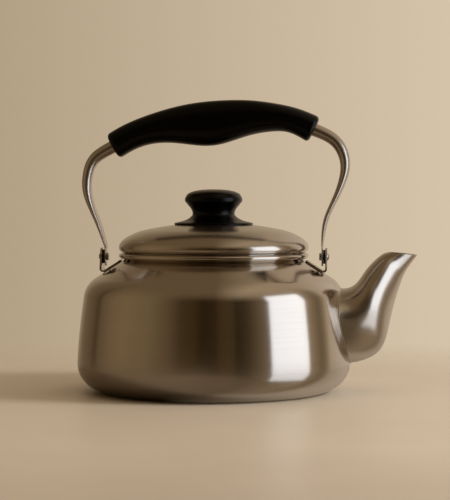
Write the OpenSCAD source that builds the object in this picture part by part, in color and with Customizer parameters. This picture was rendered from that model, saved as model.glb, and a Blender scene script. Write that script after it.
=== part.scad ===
// Stove-top kettle with a swinging bail handle.
// The base stands on z = 0, centred on the body axis. The spout points along +X.

/* [Body] */
// Largest diameter of the body, low on the wall
body_d = 200; // [196:1:204]
// Diameter of the flat base
base_d = 156; // [146:1:162]
// Height of the widest ring above the base
wide_z = 20.5; // [18:0.5:24]
// Diameter where the wall meets the rounded shoulder
wall_top_d = 190.6; // [188:0.2:192]
// Height where the wall meets the rounded shoulder
wall_top_z = 69.5; // [68:0.5:71]
// Radius of the rounded shoulder corner
shoulder_r = 19; // [16:0.5:20]
// Thickness of the drawn steel sheet
sheet = 0.8; // [0.6:0.1:1]

/* [Neck and rim] */
// Outside diameter of the neck under the rolled rim
neck_d = 131.2; // [130:0.2:132]
// Height of the middle of the rolled rim
rim_z = 99.2; // [99:0.1:99.3]
// Half of the rolled rim's width
rim_half_w = 2.4; // [2.2:0.1:2.5]
// Half of the rolled rim's height
rim_half_h = 2; // [1.8:0.1:2]

/* [Spout] */
// Half of the spout's width where it leaves the body
root_half_w = 30; // [28.5:0.5:31]
// Half of the spout's width at its mouth
mouth_half_w = 10; // [8:0.5:11]
// Thickness of the spout's sheet
spout_sheet = 0.8; // [0.6:0.1:1]
// Diameter of each strainer hole in the wall behind the spout
strainer_hole_d = 5.5; // [4:0.5:6]
// Distance between strainer holes
strainer_pitch = 9; // [8:0.5:9.5]

/* [Lid] */
// Height of the lid's crown above the base
crown_z = 123.5; // [123.3:0.1:123.7]
// Radius of the lid's shallow middle
crown_r = 240; // [235:1:245]
// Widest radius of the lid
lid_r = 69.65; // [69.4:0.05:69.8]
// Thickness of the lid's sheet
lid_sheet = 0.7; // [0.6:0.1:0.8]
// Outside radius of the skirt that drops into the neck
skirt_r = 64.3; // [63.8:0.1:64.3]
// Height of the skirt's lower edge
skirt_z = 91; // [88:0.5:94]

/* [Knob] */
// Radius of the knob's head
knob_head_r = 21.1; // [20:0.1:22]
// Radius of the knob's waist
knob_waist_r = 15.5; // [15:0.1:16]
// Radius of the knob's flange
knob_flange_r = 28.9; // [28:0.1:30]
// Height of the knob's top above the base
knob_top_z = 147.9; // [147.5:0.1:148.2]

/* [Handle] */
// Outside diameter of the handle tube
tube_d = 9.4; // [9.2:0.1:9.6]
// Height of the pivots above the base
pivot_z = 98.4; // [98:0.1:98.8]
// Radius of the rivet's shank
rivet_r = 2; // [1.8:0.1:2.2]
// Radial clearance of the leg's bore on the rivet
rivet_clearance = 0.06; // [0.04:0.01:0.08]
// Half of the grip's width at its ends
grip_end_half_w = 10; // [9.5:0.1:10.5]
// Half of the grip's width in the palm
grip_mid_half_w = 12.5; // [11:0.1:13]

/* [Hidden] */
$fn = 96;
eps = 0.01;

// Body sections
body_r = body_d / 2;
base_r = base_d / 2;
wall_top_r = wall_top_d / 2;
neck_r = neck_d / 2;
// Lean of the wall's top from the vertical, and slope of the shoulder
wall_lean = 7.9;
shoulder_slope = 33;
neck_fillet = 2.5;
shoulder_c = [wall_top_r - shoulder_r * cos(wall_lean), wall_top_z - shoulder_r * sin(wall_lean)];
shoulder_end = shoulder_c + shoulder_r * [sin(shoulder_slope), cos(shoulder_slope)];
// Middle of the hollow fillet that turns the shoulder up into the neck
fillet_r0 = neck_r + neck_fillet * (1 - sin(shoulder_slope));
fillet_z0 = shoulder_end[1] + (shoulder_end[0] - fillet_r0) * tan(shoulder_slope);
fillet_c = [neck_r + neck_fillet, fillet_z0 + neck_fillet * cos(shoulder_slope)];
rim_r = neck_r + 1.7;

// Handle stack on each side, as distances from the body axis
inner_head_x = 77.5;
leg_in_x = 79.1;
leg_out_x = 80.4;
washer_in_x = 80.5;
ear_in_x = 82;
ear_out_x = 83.4;
dome_x = 85.1;
leg_end_r = 6.8;
washer_r = 5.15;
ear_r = 6.5;
lug_half_w = 9;
// Heights between which the ear keeps the lug's full width
ear_foot_z = 84;
ear_taper_z = 91;
// Running fit of rivets and screws in the pieces they only pass through
bore_gap = 0.02;
lug_reach_x = 69;
lug_sheet = ear_out_x - ear_in_x;
lug_bend_r = 2.5;
inner_head_r = 2.7;
inner_head_edge = 0.4;
dome_r = 3.3;
tube_r = tube_d / 2;

// Middle line of each leg, from the pivot up to the grip: [distance from the axis, height, half thickness]
left_leg_path = [
    [79.75, 101.5, 0.65], [79.75, 104.4, 0.65], [80.2, 107.5, 1.2], [84.3, 120.3, 2.05], [88.5, 130.6, 2.4],
    [92.3, 141.2, 3.1], [93.7, 152, 3.7], [91.6, 164, 4], [85.6, 172.5, 4.4], [74.3, 179.2, 4.7]];
right_leg_path = [
    [79.75, 101.5, 0.65], [79.75, 104.4, 0.65], [80, 110, 1.1], [81.6, 122, 1.75], [85.4, 133, 2],
    [91, 145, 2.4], [95.6, 158.5, 3.2], [95.7, 171, 3.9], [88.6, 183.5, 4.4], [73.7, 191.3, 4.7]];
// Lean of the tube ends inside the grip, and how deep they go
socket_lean = 29.5;
socket_depth = 20;
socket_clearance = 0.06;
leg_steps = 4;
leg_sides = 20;

// Grip outline: upper and lower points of each cross-section, from the left end to the right
grip_top = [[-79.1, 187.8], [-62.7, 196.9], [-38.4, 205.7], [-16, 210.9], [5, 213],
            [27, 213], [47, 210.4], [63, 206.5], [78.2, 200.3]];
grip_bottom = [[-69.5, 170.5], [-53.6, 179], [-33, 182], [-10, 179.8], [8, 181.5],
               [27, 187.4], [45.5, 190.2], [57.5, 188.5], [69.2, 182.2]];
grip_steps = 4;
grip_sides = 32;
// A screw holds each tube end, this far in from the end of the grip
grip_screw_in = 12;
grip_screw_r = 1.5;
grip_screw_head_r = 2.8;
// Along the screw from the tube's middle line: its end, the underside of its head and the head's foot
grip_screw_tip = 1.5;
grip_screw_seat = -7.5;
grip_screw_foot = -9;

// Spout outline: back and front points of each cross-section, from the root to the mouth
spout_back = [[88, 75.2], [98, 75.6], [105.1, 79.7], [110.5, 87.2], [115, 92.8],
              [119.7, 97.4], [123.3, 100.2], [125.6, 101.4], [127.6, 101.9]];
spout_front = [[90, 20], [104.5, 21.6], [114.5, 24.8], [121.6, 30], [126.7, 40.6],
               [131.4, 60.8], [136.5, 78], [141.1, 88.9], [149, 99.8]];
spout_half_w = [root_half_w, root_half_w - 1.2, 27, 25, 22, 18.2, 14.8, 12.2, mouth_half_w];
// How much each section narrows towards the front, which makes it egg-shaped
nose_pinch = 0.3;
spout_steps = 3;
spout_sides = 40;
strainer_mid_z = 48;
strainer_wall_x = 90;

// Lid sections
crown_edge_r = 50;
crown_edge_slope = asin(crown_edge_r / crown_r);
brow_r = 45;
brow_slope = 29;
brow_c = [crown_edge_r, crown_z - crown_r + crown_r * cos(crown_edge_slope)]
       - brow_r * [sin(crown_edge_slope), cos(crown_edge_slope)];
brow_end = brow_c + brow_r * [sin(brow_slope), cos(brow_slope)];
hem_r = 3.65;
hem_c = [lid_r - hem_r, 105.2];
hem_in_r = skirt_r + 0.1;
lid_hole_r = 2.2;

// Knob fastening
insert_r = 4;
insert_z = crown_z + 0.2;
insert_top_z = 136;
screw_r = 1.95;
screw_end_z = 134;
screw_head_r = 4;
screw_slot_w = 1;
screw_slot_l = 4.4;
screw_slot_depth = 1.4;

// Knob: thin edge of the flange, then curves (three control points each) up to the top
knob_edge_r = 0.7;
knob_edge_z = 122.6;
knob_flange_curve = [[24.7, 124.1], [18, 125.6], [knob_waist_r, 129.2]];
knob_waist_curve = [[knob_waist_r, 130.5], [knob_waist_r + 0.2, 133], [18.6, 136]];
knob_head_curve = [[20, 137.8], [knob_head_r + 1, 139.6], [knob_head_r - 0.6, 142.4]];
knob_crown_curve = [[knob_head_r - 1.6, 144.1], [16.5, 146.8], [8, knob_top_z - 0.3]];
// Hollow round the knob's middle boss, the boss itself and the ring that stands on the lid
knob_boss_r = 7.5;
knob_seat_w = 3.2;
knob_cavity = [[knob_boss_r, 137], [12, 136], [12.6, 128], [15.5, 124.9], [24, 122.7]];
knob_cut_z = 121;
// The washer lies flat under the curved crown, so it touches at its rim
washer_top_z = crown_z - lid_sheet - 0.16;
lid_washer_r = 6;
lid_washer_h = 1;
screw_head_h = 2.4;

// ---- Shared geometry ----

function arc(c, r, a0, a1, n) =
    [for (i = [0:n]) let (a = a0 + (a1 - a0) * i / n) c + r * [cos(a), sin(a)]];

function bezier2(p0, p1, p2, n) =
    [for (i = [0:n]) let (t = i / n) (1 - t) * (1 - t) * p0 + 2 * t * (1 - t) * p1 + t * t * p2];

function unit(v) = v / norm(v);

// Points moved inward by t, for an outline that runs counter-clockwise round the metal
function inset(pts, t) =
    [for (i = [0:len(pts) - 1])
        let (a = pts[max(i - 1, 0)], b = pts[min(i + 1, len(pts) - 1)], d = unit(b - a))
        pts[i] + t * [-d[1], d[0]]];

function reversed(pts) = [for (i = [len(pts) - 1:-1:0]) pts[i]];

function catmull(a, b, c, d, t) =
    0.5 * (2 * b + (c - a) * t + (2 * a - 5 * b + 4 * c - d) * t * t
           + (3 * b - 3 * c + d - a) * t * t * t);

// Smooth curve through pts, with n steps between each pair
function smooth(pts, n) =
    let (last = len(pts) - 1)
    [for (i = [0:last - 1])
        let (a = i == 0 ? 2 * pts[0] - pts[1] : pts[i - 1],
             d = i == last - 1 ? 2 * pts[last] - pts[last - 1] : pts[i + 2])
        for (k = [0:(i == last - 1 ? n : n - 1)])
            catmull(a, pts[i], pts[i + 1], d, k / n)];

// Side faces between rings of m points
function skin_faces(rings, m, first, flip) =
    [for (i = [0:rings - 2]) for (k = [0:m - 1])
        let (a = first + i * m + k, b = first + i * m + (k + 1) % m, c = b + m, d = a + m)
        flip ? [d, c, b, a] : [a, b, c, d]];

module solid_loft(rings, m) {
    n = len(rings);
    points = [for (r = rings) each r];
    faces = concat(skin_faces(n, m, 0, false),
                   [[for (k = [m - 1:-1:0]) k]],
                   [[for (k = [0:m - 1]) (n - 1) * m + k]]);
    polyhedron(points, faces, convexity = 6);
}

module shell_loft(outer, inner, m) {
    n = len(outer);
    shift = n * m;
    points = concat([for (r = outer) each r], [for (r = inner) each r]);
    start_ring = [for (k = [0:m - 1]) let (j = (k + 1) % m) [k, shift + k, shift + j, j]];
    end_ring = [for (k = [0:m - 1]) let (j = (k + 1) % m, e = (n - 1) * m)
                [e + k, e + j, shift + e + j, shift + e + k]];
    faces = concat(skin_faces(n, m, 0, false), skin_faces(n, m, shift, true), start_ring, end_ring);
    polyhedron(points, faces, convexity = 8);
}

// Puts a shape drawn along +Z onto the pivot axis of one side (+1 right, -1 left)
module on_pivot(side) {
    translate([0, 0, pivot_z]) rotate([0, side * 90, 0]) children();
}

// ---- Body ----

body_outline = concat(
    [[0, 0]],
    [for (i = [0:10]) let (a = -90 + 9 * i)
        [base_r + (body_r - base_r) * cos(a), wide_z * (1 + sin(a))]],
    bezier2([body_r, wide_z], [body_r, wide_z + 15], [wall_top_r, wall_top_z], 6),
    arc(shoulder_c, shoulder_r, wall_lean, 90 - shoulder_slope, 6),
    arc(fillet_c, neck_fillet, 270 - shoulder_slope, 180, 4),
    [[neck_r, rim_z]]);

// The same outline without repeated points, so that every step has a direction
body_outer = [for (i = [0:len(body_outline) - 1])
    if (i == 0 || norm(body_outline[i] - body_outline[i - 1]) > eps) body_outline[i]];

module body_solid() {
    rotate_extrude() polygon(concat(body_outer, [[0, rim_z]]));
}

module body_sheet() {
    inner = [for (p = inset(body_outer, sheet)) [max(p[0], 0), p[1]]];
    rotate_extrude() polygon(concat(body_outer, reversed(inner)));
}

module rolled_rim() {
    rotate_extrude() polygon([for (i = [0:23]) let (a = 15 * i)
        [rim_r + rim_half_w * cos(a), rim_z + rim_half_h * sin(a)]]);
}

module strainer_hole(y, z) {
    translate([strainer_wall_x, y, z]) rotate([0, 90, 0])
        cylinder(d = strainer_hole_d, h = 20);
}

// One hole in the middle and two rings of six and twelve round it
module strainer_holes() {
    strainer_hole(0, strainer_mid_z);
    for (ring = [1, 2])
        for (k = [0:6 * ring - 1])
            strainer_hole(ring * strainer_pitch * sin(60 * k / ring),
                          strainer_mid_z + ring * strainer_pitch * cos(60 * k / ring));
}

module body_shell() {
    color("silver") difference() {
        union() {
            body_sheet();
            rolled_rim();
        }
        strainer_holes();
    }
}

// ---- Spout ----

function spout_ring(back, front, half_w, m, t) =
    let (mid = (back + front) / 2, up = unit(back - front), h = norm(back - front) / 2 - t)
    [for (k = [0:m - 1])
        let (a = 360 * k / m, w = (half_w - t) * (1 + nose_pinch * cos(a)), p = mid + h * cos(a) * up)
        [p[0], w * sin(a), p[1]]];

module spout() {
    back = smooth(spout_back, spout_steps);
    front = smooth(spout_front, spout_steps);
    half_w = smooth(spout_half_w, spout_steps);
    last = len(back) - 1;
    outer = [for (i = [0:last]) spout_ring(back[i], front[i], half_w[i], spout_sides, 0)];
    inner = [for (i = [0:last]) spout_ring(back[i], front[i], half_w[i], spout_sides, spout_sheet)];
    color("silver") difference() {
        shell_loft(outer, inner, spout_sides);
        body_solid();
    }
}

// ---- Lugs, washers and rivets ----

// Bent strip seen from the front: the ear stands up and the base lies along the shoulder
function lug_strip(t) =
    let (c = [ear_out_x - lug_bend_r,
              shoulder_end[1] + (shoulder_end[0] - ear_out_x + lug_bend_r) * tan(shoulder_slope)
              + (lug_bend_r - 0.3) / cos(shoulder_slope)],
         along = [-cos(shoulder_slope), sin(shoulder_slope)],
         out = [-sin(shoulder_slope), -cos(shoulder_slope)],
         reach = (c[0] - lug_reach_x) / cos(shoulder_slope))
    concat([[ear_out_x - t, pivot_z + ear_r], [ear_out_x, pivot_z + ear_r]],
           arc(c, lug_bend_r, 0, -90 - shoulder_slope, 6),
           [c + lug_bend_r * out + reach * along, c + (lug_bend_r - t) * out + reach * along],
           arc(c, lug_bend_r - t, -90 - shoulder_slope, 0, 6));

module lug_bend() {
    rotate([90, 0, 0]) linear_extrude(2 * lug_half_w, center = true) polygon(lug_strip(lug_sheet));
}

// The ear narrows from the base's width up to its round top
module ear_outline() {
    rotate([90, 0, 90]) linear_extrude(ear_out_x + 1)
        union() {
            translate([0, pivot_z]) circle(r = ear_r);
            polygon([[-lug_half_w, ear_foot_z], [lug_half_w, ear_foot_z], [lug_half_w, ear_taper_z],
                     [ear_r, pivot_z], [-ear_r, pivot_z], [-lug_half_w, ear_taper_z]]);
        }
}

module lug(side) {
    base_block_x = ear_in_x - 2;
    color("gainsboro") scale_x(side) difference() {
        union() {
            intersection() {
                lug_bend();
                ear_outline();
            }
            intersection() {
                lug_bend();
                translate([0, -lug_half_w, 0]) cube([base_block_x, 2 * lug_half_w, pivot_z]);
            }
        }
        body_solid();
        on_pivot(1) cylinder(r = rivet_r + bore_gap, h = 100);
    }
}

// Mirrors a right-hand shape onto the left
module scale_x(side) {
    if (side > 0) children();
    else mirror([1, 0, 0]) children();
}

module pivot_washer(side) {
    color("black") on_pivot(side) translate([0, 0, washer_in_x]) difference() {
        cylinder(r = washer_r, h = ear_in_x - washer_in_x);
        translate([0, 0, -1]) cylinder(r = rivet_r + bore_gap, h = 4);
    }
}

// Rivet with a domed head outside the ear and a flat head inside the leg
module pivot_rivet(side) {
    dome_h = dome_x - ear_out_x;
    dome_ball_r = (dome_r * dome_r + dome_h * dome_h) / (2 * dome_h);
    dome_angle = asin(dome_r / dome_ball_r);
    dome = arc([0, dome_x - dome_ball_r], dome_ball_r, 90 - dome_angle, 90, 5);
    color("gainsboro") on_pivot(side) rotate_extrude() polygon(concat(
        [[0, inner_head_x], [inner_head_r - inner_head_edge, inner_head_x],
         [inner_head_r, inner_head_x + inner_head_edge],
         [inner_head_r, leg_in_x - 0.1], [rivet_r, leg_in_x - 0.1], [rivet_r, ear_out_x]],
        dome));
}

// ---- Lid ----

lid_outline = concat(
    arc([0, crown_z - crown_r], crown_r, 90, 90 - crown_edge_slope, 5),
    arc(brow_c, brow_r, 90 - crown_edge_slope, 90 - brow_slope, 3),
    bezier2(brow_end, [lid_r, brow_end[1] - (lid_r - brow_end[0]) * tan(brow_slope)],
            [lid_r, hem_c[1]], 6),
    arc(hem_c, hem_r, 0, -90, 6),
    [[hem_in_r, hem_c[1] - hem_r]]);

lid_outer = [for (i = [0:len(lid_outline) - 1])
    if (i == 0 || norm(lid_outline[i] - lid_outline[i - 1]) > eps) lid_outline[i]];

module lid_dome() {
    inner = [for (p = inset(lid_outer, -lid_sheet)) [max(p[0], 0), p[1]]];
    color("silver") difference() {
        rotate_extrude() polygon(concat(lid_outer, reversed(inner)));
        translate([0, 0, crown_z - 5]) cylinder(r = lid_hole_r, h = 10);
    }
}

// Skirt that drops into the neck, with a flange that lies on the lid's hem
module lid_skirt() {
    flange_r = hem_c[0];
    flange_z = hem_c[1] - hem_r + lid_sheet + 0.02;
    color("silver") rotate_extrude() polygon([
        [skirt_r - lid_sheet, skirt_z], [skirt_r - 0.2, skirt_z], [skirt_r, skirt_z + 1],
        [skirt_r, flange_z], [flange_r, flange_z], [flange_r, flange_z + lid_sheet],
        [skirt_r - lid_sheet, flange_z + lid_sheet]]);
}

// ---- Knob and its fastening ----

function crown_height(r) = crown_z - crown_r + sqrt(crown_r * crown_r - r * r);

module knob() {
    seat_r = knob_flange_r - 0.3;
    outside = concat(
        [[0, knob_cut_z], [seat_r, knob_cut_z], [seat_r, crown_height(seat_r)]],
        arc([knob_flange_r - knob_edge_r, knob_edge_z], knob_edge_r, -30, 70, 3),
        bezier2(knob_flange_curve[0], knob_flange_curve[1], knob_flange_curve[2], 5),
        bezier2(knob_waist_curve[0], knob_waist_curve[1], knob_waist_curve[2], 4),
        bezier2(knob_head_curve[0], knob_head_curve[1], knob_head_curve[2], 5),
        bezier2(knob_crown_curve[0], knob_crown_curve[1], knob_crown_curve[2], 5),
        [[0, knob_top_z]]);
    cavity_r = seat_r - knob_seat_w;
    cavity = concat(knob_cavity, [[cavity_r, crown_height(cavity_r) - eps],
                                  [cavity_r, knob_cut_z], [knob_boss_r, knob_cut_z]]);
    color([0.08, 0.08, 0.08]) difference() {
        rotate_extrude() polygon(outside);
        translate([0, 0, crown_z - crown_r]) sphere(r = crown_r, $fn = 400);
        rotate_extrude() polygon(cavity);
        translate([0, 0, knob_cut_z]) cylinder(r = insert_r, h = insert_top_z - knob_cut_z);
    }
}

module knob_insert() {
    color("goldenrod") translate([0, 0, insert_z]) difference() {
        cylinder(r = insert_r, h = insert_top_z - insert_z);
        translate([0, 0, -1]) cylinder(r = screw_r + bore_gap, h = insert_top_z - insert_z);
    }
}

module knob_washer() {
    color("silver") translate([0, 0, washer_top_z - lid_washer_h]) difference() {
        cylinder(r = lid_washer_r, h = lid_washer_h);
        translate([0, 0, -1]) cylinder(r = lid_hole_r, h = 4);
    }
}

module knob_screw() {
    head_top_z = washer_top_z - lid_washer_h;
    color("silver") difference() {
        union() {
            translate([0, 0, head_top_z]) cylinder(r = screw_r, h = screw_end_z - head_top_z);
            translate([0, 0, head_top_z - screw_head_h]) cylinder(r = screw_head_r, h = screw_head_h);
        }
        for (a = [0, 90]) rotate([0, 0, a])
            translate([-screw_slot_l / 2, -screw_slot_w / 2, head_top_z - screw_head_h - 1])
                cube([screw_slot_l, screw_slot_w, screw_slot_depth + 1]);
    }
}

// ---- Handle ----

// Rings round a flattened tube; its girth stays that of the round tube
function leg_rings(path, n, m) =
    let (s = smooth(path, n), last = len(s) - 1,
         inside = [s[last][0] - socket_depth * cos(socket_lean),
                   s[last][1] + socket_depth * sin(socket_lean)],
         all = concat(s, [[inside[0], inside[1], s[last][2]]]))
    [for (i = [0:len(all) - 1])
        let (a = all[max(i - 1, 0)], b = all[min(i + 1, len(all) - 1)],
             d = i == len(all) - 2 || i == len(all) - 1 ? [-cos(socket_lean), sin(socket_lean)]
               : i == 0 ? [0, 1] : unit([b[0] - a[0], b[1] - a[1]]),
             across = [d[1], -d[0]], thin = all[i][2],
             wide = sqrt(2 * tube_r * tube_r - thin * thin))
        [for (k = [0:m - 1]) let (f = -360 * k / m, q = thin * cos(f))
            [all[i][0] + q * across[0], wide * sin(f), all[i][1] + q * across[1]]]];

// Where the grip's screw crosses the tube, and which way it points
function screw_point(path) =
    let (e = path[len(path) - 1])
    [e[0] - grip_screw_in * cos(socket_lean), 0, e[1] + grip_screw_in * sin(socket_lean)];

// Places a shape drawn along +Z so that +Z runs from the grip's underside into the tube
module at_grip_screw(path) {
    translate(screw_point(path)) rotate([0, socket_lean, 0]) children();
}

module leg(path, side) {
    color("silver") scale_x(side) difference() {
        union() {
            solid_loft(leg_rings(path, leg_steps, leg_sides), leg_sides);
            on_pivot(1) translate([0, 0, leg_in_x]) cylinder(r = leg_end_r, h = leg_out_x - leg_in_x);
        }
        on_pivot(1) cylinder(r = rivet_r + rivet_clearance, h = 100);
        at_grip_screw(path) translate([0, 0, -8]) cylinder(r = grip_screw_r + bore_gap, h = 10);
    }
}

function grip_ring(top, bottom, half_w, m) =
    let (mid = (top + bottom) / 2, up = unit(top - bottom), h = norm(top - bottom) / 2)
    [for (k = [0:m - 1])
        let (a = -360 * k / m, squareness = 0.85,
             u = sign(cos(a)) * pow(abs(cos(a)), squareness),
             v = sign(sin(a)) * pow(abs(sin(a)), squareness),
             p = mid + h * u * up)
        [p[0], half_w * v, p[1]]];

module socket(path, side) {
    e = path[len(path) - 1];
    scale_x(side) translate([e[0], 0, e[1]]) rotate([0, -90 + socket_lean, 0])
        translate([0, 0, -5]) cylinder(r = tube_r + socket_clearance, h = socket_depth + 5 + 0.1);
}

module grip_screw_hole(path, side) {
    scale_x(side) at_grip_screw(path) {
        translate([0, 0, -20]) cylinder(r = grip_screw_r + bore_gap, h = 20);
        translate([0, 0, -20]) cylinder(r = grip_screw_head_r + 0.3, h = 20 + grip_screw_seat);
    }
}

module grip() {
    top = smooth(grip_top, grip_steps);
    bottom = smooth(grip_bottom, grip_steps);
    last = len(top) - 1;
    rings = [for (i = [0:last])
        let (w = grip_end_half_w + (grip_mid_half_w - grip_end_half_w) * sin(180 * i / last))
        grip_ring(top[i], bottom[i], w, grip_sides)];
    color([0.07, 0.07, 0.07]) difference() {
        solid_loft(rings, grip_sides);
        socket(left_leg_path, -1);
        socket(right_leg_path, 1);
        grip_screw_hole(left_leg_path, -1);
        grip_screw_hole(right_leg_path, 1);
    }
}

module grip_screw(path, side) {
    color("dimgray") scale_x(side) at_grip_screw(path) {
        translate([0, 0, grip_screw_seat])
            cylinder(r = grip_screw_r, h = grip_screw_tip - grip_screw_seat);
        translate([0, 0, grip_screw_foot])
            cylinder(r = grip_screw_head_r, h = grip_screw_seat - grip_screw_foot);
    }
}

body_shell();
spout();
lug(-1);  // lug_left
lug(1);  // lug_right
pivot_washer(-1);  // pivot_washer_left
pivot_washer(1);  // pivot_washer_right
pivot_rivet(-1);  // pivot_rivet_left
pivot_rivet(1);  // pivot_rivet_right
lid_dome();
lid_skirt();
knob();
knob_insert();
knob_washer();
knob_screw();
leg(left_leg_path, -1);  // leg_left
leg(right_leg_path, 1);  // leg_right
grip();
grip_screw(left_leg_path, -1);  // grip_screw_left
grip_screw(right_leg_path, 1);  // grip_screw_right
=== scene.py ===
"""Stove-top kettle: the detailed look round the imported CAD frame."""
import math

import bpy
import numpy as np
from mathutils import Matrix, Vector


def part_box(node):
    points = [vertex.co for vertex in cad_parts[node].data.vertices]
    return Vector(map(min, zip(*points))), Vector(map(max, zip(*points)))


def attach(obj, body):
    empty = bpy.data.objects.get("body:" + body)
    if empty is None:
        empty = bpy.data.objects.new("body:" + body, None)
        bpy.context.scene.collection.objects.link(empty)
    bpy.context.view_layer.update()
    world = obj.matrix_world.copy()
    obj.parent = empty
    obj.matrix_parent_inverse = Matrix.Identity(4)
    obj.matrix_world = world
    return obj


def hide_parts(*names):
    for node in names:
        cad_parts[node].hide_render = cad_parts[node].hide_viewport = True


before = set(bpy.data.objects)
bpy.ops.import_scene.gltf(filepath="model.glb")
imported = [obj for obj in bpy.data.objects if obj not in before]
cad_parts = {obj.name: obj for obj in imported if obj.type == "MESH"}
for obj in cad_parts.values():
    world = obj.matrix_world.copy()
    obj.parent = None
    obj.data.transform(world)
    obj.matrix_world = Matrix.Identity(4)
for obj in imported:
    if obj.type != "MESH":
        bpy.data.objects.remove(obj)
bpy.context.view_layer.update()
scene = bpy.context.scene
MM = 0.001


def rad(a):
    return math.radians(a)


def box_mm(node):
    """Near and far corner of a CAD node's box, in mm."""
    lo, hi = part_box(node)
    return [v / MM for v in lo], [v / MM for v in hi]


# ---------------------------------------------------------------- sizes, in mm, from the CAD frame
body_hi = box_mm("body_shell")[1]
lid_hi = box_mm("lid_dome")[1]
knob_hi = box_mm("knob")[1]
rivet_lo, rivet_hi = box_mm("pivot_rivet_right")
washer_lo, washer_hi = box_mm("pivot_washer_right")
lug_hi = box_mm("lug_right")[1]
BODY_R = body_hi[1]
RIM_TOP = body_hi[2]
LID_R = lid_hi[1]
CROWN_Z = lid_hi[2]
KNOB_TOP = knob_hi[2]
PIVOT_Z = (rivet_lo[2] + rivet_hi[2]) / 2
EAR_IN = washer_hi[0]
EAR_OUT = lug_hi[0]
WASHER_IN = washer_lo[0]
WASHER_R = washer_hi[1]
DOME_X = rivet_hi[0]
DOME_R = rivet_hi[1]
INNER_HEAD_X = rivet_lo[0]
LUG_HALF_W = lug_hi[1]

# The same driving dimensions as the CAD source
BASE_R = 78.0
WIDE_Z = 20.5
WALL_BULGE_H = 15.0
WALL_TOP = (95.3, 69.5)
WALL_LEAN = 7.9
SHOULDER_R = 19.0
SHOULDER_SLOPE = 33.0
NECK_R = 65.6
NECK_FILLET = 2.5
NECK_TOP_Z = 97.4
SHEET = 0.8
RIM_C = (67.3, 99.2)
RIM_HALF = (2.4, RIM_TOP - RIM_C[1])


# ---------------------------------------------------------------- curves
def arc(c, r, a0, a1, n, ry=None):
    """Arc of n steps round c between two angles in degrees; ry makes it an ellipse."""
    ry = r if ry is None else ry
    out = []
    for i in range(n + 1):
        a = rad(a0 + (a1 - a0) * i / n)
        out.append((c[0] + r * math.cos(a), c[1] + ry * math.sin(a)))
    return out


def bezier2(p0, p1, p2, n):
    """Curve of n steps from p0 to p2, pulled towards p1."""
    out = []
    for i in range(n + 1):
        t = i / n
        out.append(tuple((1 - t) ** 2 * a + 2 * t * (1 - t) * b + t * t * c
                         for a, b, c in zip(p0, p1, p2)))
    return out


def join(*runs):
    """One outline from several runs, without repeated points."""
    out = []
    for run in runs:
        for p in run:
            if not out or math.dist(out[-1], p) > 0.01:
                out.append(tuple(p))
    return out


def inset(points, t):
    """The same outline, t mm to its left."""
    out = []
    for i in range(len(points)):
        a = points[max(i - 1, 0)]
        b = points[min(i + 1, len(points) - 1)]
        n = math.dist(a, b)
        dx, dy = (b[0] - a[0]) / n, (b[1] - a[1]) / n
        out.append((max(points[i][0] - t * dy, 0.0), points[i][1] + t * dx))
    return out


class Spline:
    """Natural cubic spline through rows of numbers, one row for each whole step."""

    def __init__(self, rows):
        self.y = np.array(rows, float)
        n = len(rows)
        a = np.zeros((n, n))
        r = np.zeros_like(self.y)
        a[0, 0] = a[-1, -1] = 1.0
        for i in range(1, n - 1):
            a[i, i - 1:i + 2] = (1, 4, 1)
            r[i] = 6 * (self.y[i - 1] - 2 * self.y[i] + self.y[i + 1])
        self.m = np.linalg.solve(a, r)
        self.n = n

    def __call__(self, s):
        i = min(max(int(s), 0), self.n - 2)
        t = s - i
        u = 1 - t
        y, m = self.y, self.m
        return (u * y[i] + t * y[i + 1]
                + ((u ** 3 - u) * m[i] + (t ** 3 - t) * m[i + 1]) / 6)


# ---------------------------------------------------------------- meshes
def mesh_object(name, verts, faces, sharp=40.0, uvs=None):
    """Object from points in mm, shaded smooth with sharp edges above an angle."""
    me = bpy.data.meshes.new(name)
    me.from_pydata([(v[0] * MM, v[1] * MM, v[2] * MM) for v in verts], [], faces)
    me.update()
    if uvs is not None:
        layer = me.uv_layers.new(name="surface")
        loops = np.zeros(len(me.loops), dtype=np.int32)
        me.loops.foreach_get("vertex_index", loops)
        flat = np.array(uvs, dtype=np.float32)[loops].ravel()
        layer.data.foreach_set("uv", flat)
    me.shade_smooth()
    me.set_sharp_from_angle(angle=rad(sharp))
    ob = bpy.data.objects.new(name, me)
    scene.collection.objects.link(ob)
    return ob


def revolve(name, profile, m=192, sharp=40.0, axis="z", offset=(0, 0, 0), closed=False):
    """Turns an outline of (radius, height) round an axis; ends on the axis close to a point."""
    angles = [2 * math.pi * k / m for k in range(m)]
    verts, rows = [], []
    for r, z in profile:
        if r < 1e-6:
            rows.append([len(verts)] * m)
            verts.append((0.0, 0.0, z))
        else:
            rows.append([len(verts) + k for k in range(m)])
            verts += [(r * math.cos(a), r * math.sin(a), z) for a in angles]
    if closed:
        rows.append(rows[0])
    faces = []
    for a, b in zip(rows, rows[1:]):
        for k in range(m):
            j = (k + 1) % m
            face = []
            for v in (a[k], a[j], b[j], b[k]):
                if v not in face:
                    face.append(v)
            if len(face) > 2:
                faces.append(face)
    if axis == "x":
        verts = [(z, y, -x) for x, y, z in verts]
    verts = [(x + offset[0], y + offset[1], z + offset[2]) for x, y, z in verts]
    return mesh_object(name, verts, faces, sharp)


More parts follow.
